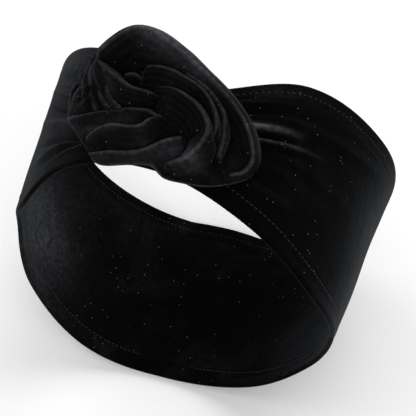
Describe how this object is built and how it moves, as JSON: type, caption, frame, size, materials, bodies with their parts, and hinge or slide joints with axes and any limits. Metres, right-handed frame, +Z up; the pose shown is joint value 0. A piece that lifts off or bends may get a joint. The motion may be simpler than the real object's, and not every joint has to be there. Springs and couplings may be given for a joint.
{
  "type": "velvet wire headband with a twisted rosette",
  "caption": "Wide velvet headband shaped by wire in its rims, closed into a loop, pleated and twisted into a rosette at the front.",
  "frame": {"origin": "middle of the flattened back of the band, on the surface that it lies on", "axes": "+Z up through the loop to the rosette, Y along the loop's own axis with the near rim at -Y, +X to the right seen from the near rim"},
  "size_m": [0.1728, 0.1064, 0.2082],
  "materials": {
    "band_velvet": "short black velvet pile with a soft grey sheen",
    "hem_velvet": "black velvet rolled round the wire, stitched along its inner side",
    "rosette_velvet": "black velvet in soft folds with bright crests"
  },
  "bodies": {
    "root": {"band": "band_velvet", "near_hem": "hem_velvet", "far_hem": "hem_velvet", "outer_petal": "rosette_velvet", "rosette_heart": "rosette_velvet", "left_folds": "rosette_velvet", "lower_petal": "rosette_velvet"}
  },
  "joints": []
}
